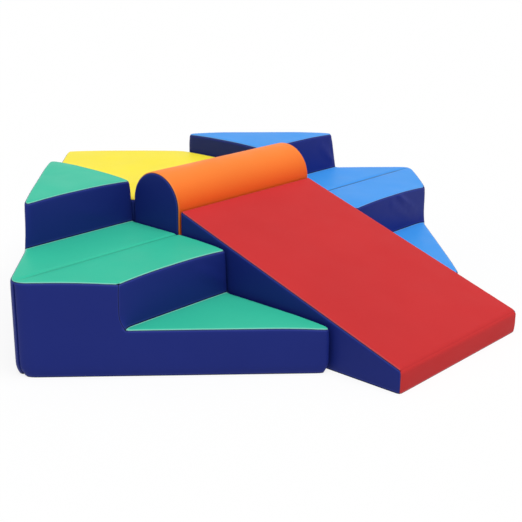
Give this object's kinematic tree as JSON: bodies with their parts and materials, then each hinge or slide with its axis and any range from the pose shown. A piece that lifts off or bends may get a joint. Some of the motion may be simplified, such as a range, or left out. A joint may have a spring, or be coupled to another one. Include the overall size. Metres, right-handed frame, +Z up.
{
  "type": "soft play foam climber",
  "caption": "Soft play climber of covered foam: a slide and an arch bolster before a corner platform, with a folding corner stair on each side.",
  "frame": {"origin": "on the floor, under the middle of the assembled set's box", "axes": "+Z up; +Y uphill, from the slide's toe to the platform's corner; +X across the slide, with the green stair on the -X side and the blue one on the +X side"},
  "size_m": [2.0336, 1.9346, 0.4953],
  "materials": {
    "green_vinyl": "satin vinyl with a faint grain",
    "blue_vinyl": "satin vinyl with a faint grain",
    "yellow_vinyl": "satin vinyl with a faint grain",
    "orange_vinyl": "satin vinyl with a faint grain",
    "red_vinyl": "satin vinyl with a faint grain",
    "navy_vinyl": "satin vinyl with a faint grain",
    "base_vinyl": "matt non-slip vinyl with raised dots",
    "foam": "cut polyurethane foam",
    "hook_tape": "stiff hooks on a woven tape",
    "loop_tape": "soft loop pile",
    "zip_tape": "woven zip tape with a nylon coil",
    "zip_metal": "cast zinc"
  },
  "bodies": {
    "platform": {"platform_foam_core": "foam", "platform_side_cover": "navy_vinyl", "platform_base_cover": "base_vinyl", "platform_top_tread": "yellow_vinyl", "platform_zip": "zip_tape", "platform_hook_strip": "hook_tape", "green_side_hook_strip": "hook_tape", "blue_side_hook_strip": "hook_tape"},
    "arch": {"arch_foam_core": "foam", "arch_top_cover": "orange_vinyl", "arch_left_end": "navy_vinyl", "arch_right_end": "navy_vinyl", "arch_base_cover": "base_vinyl", "arch_zip": "zip_tape", "arch_loop_strip": "loop_tape", "arch_hook_strip": "hook_tape"},
    "slide": {"slide_foam_core": "foam", "slide_top_cover": "red_vinyl", "slide_left_side": "navy_vinyl", "slide_right_side": "navy_vinyl", "slide_head_cover": "navy_vinyl", "slide_base_cover": "base_vinyl", "slide_zip": "zip_tape", "slide_loop_strip": "loop_tape"},
    "green_rear": {"green_rear_foam_core": "foam", "green_rear_side_cover": "navy_vinyl", "green_rear_base_cover": "base_vinyl", "green_rear_middle_tread": "green_vinyl", "green_rear_high_tread": "green_vinyl", "green_fold_tape": "navy_vinyl", "green_rear_zip": "zip_tape", "green_stair_loop_strip": "loop_tape"},
    "green_front": {"green_front_foam_core": "foam", "green_front_side_cover": "navy_vinyl", "green_front_base_cover": "base_vinyl", "green_front_middle_tread": "green_vinyl", "green_front_low_tread": "green_vinyl", "green_front_zip": "zip_tape"},
    "blue_rear": {"blue_rear_foam_core": "foam", "blue_rear_side_cover": "navy_vinyl", "blue_rear_base_cover": "base_vinyl", "blue_rear_middle_tread": "blue_vinyl", "blue_rear_high_tread": "blue_vinyl", "blue_fold_tape": "navy_vinyl", "blue_rear_zip": "zip_tape", "blue_stair_loop_strip": "loop_tape"},
    "blue_front": {"blue_front_foam_core": "foam", "blue_front_side_cover": "navy_vinyl", "blue_front_base_cover": "base_vinyl", "blue_front_middle_tread": "blue_vinyl", "blue_front_low_tread": "blue_vinyl", "blue_front_zip": "zip_tape"},
    "platform_zip_slider": {"platform_zip_slider": "zip_metal"},
    "arch_zip_slider": {"arch_zip_slider": "zip_metal"},
    "slide_zip_slider": {"slide_zip_slider": "zip_metal"},
    "green_rear_zip_slider": {"green_rear_zip_slider": "zip_metal"},
    "green_front_zip_slider": {"green_front_zip_slider": "zip_metal"},
    "blue_rear_zip_slider": {"blue_rear_zip_slider": "zip_metal"},
    "blue_front_zip_slider": {"blue_front_zip_slider": "zip_metal"}
  },
  "joints": [
    {"name": "arch_lift", "type": "slide", "parent": "platform", "child": "arch", "axis": [0, 0, 1], "range_m": [0, 0.3]},
    {"name": "slide_pull", "type": "slide", "parent": "platform", "child": "slide", "axis": [0, -1, 0], "range_m": [0, 0.3]},
    {"name": "green_stair_pull", "type": "slide", "parent": "platform", "child": "green_rear", "axis": [-1, 0, 0], "range_m": [0, 0.3]},
    {"name": "blue_stair_pull", "type": "slide", "parent": "platform", "child": "blue_rear", "axis": [1, 0, 0], "range_m": [0, 0.3]},
    {"name": "green_stair_fold", "type": "hinge", "parent": "green_rear", "child": "green_front", "pos_m": [-0.347, -0.05291, 0.3068], "axis": [-1, 0, 0], "range_deg": [0, 180]},
    {"name": "blue_stair_fold", "type": "hinge", "parent": "blue_rear", "child": "blue_front", "pos_m": [0.347, -0.05291, 0.3068], "axis": [-1, 0, 0], "range_deg": [0, 180]},
    {"name": "platform_zip_run", "type": "slide", "parent": "platform", "child": "platform_zip_slider", "axis": [1, 0, 0], "range_m": [0, 0.4948]},
    {"name": "arch_zip_run", "type": "slide", "parent": "arch", "child": "arch_zip_slider", "axis": [1, 0, 0], "range_m": [0, 0.4948]},
    {"name": "slide_zip_run", "type": "slide", "parent": "slide", "child": "slide_zip_slider", "axis": [1, 0, 0], "range_m": [0, 0.4948]},
    {"name": "green_rear_zip_run", "type": "slide", "parent": "green_rear", "child": "green_rear_zip_slider", "axis": [1, 0, 0], "range_m": [0, 0.4948]},
    {"name": "green_front_zip_run", "type": "slide", "parent": "green_front", "child": "green_front_zip_slider", "axis": [1, 0, 0], "range_m": [0, 0.4948]},
    {"name": "blue_rear_zip_run", "type": "slide", "parent": "blue_rear", "child": "blue_rear_zip_slider", "axis": [1, 0, 0], "range_m": [0, 0.4948]},
    {"name": "blue_front_zip_run", "type": "slide", "parent": "blue_front", "child": "blue_front_zip_slider", "axis": [1, 0, 0], "range_m": [0, 0.4948]}
  ]
}
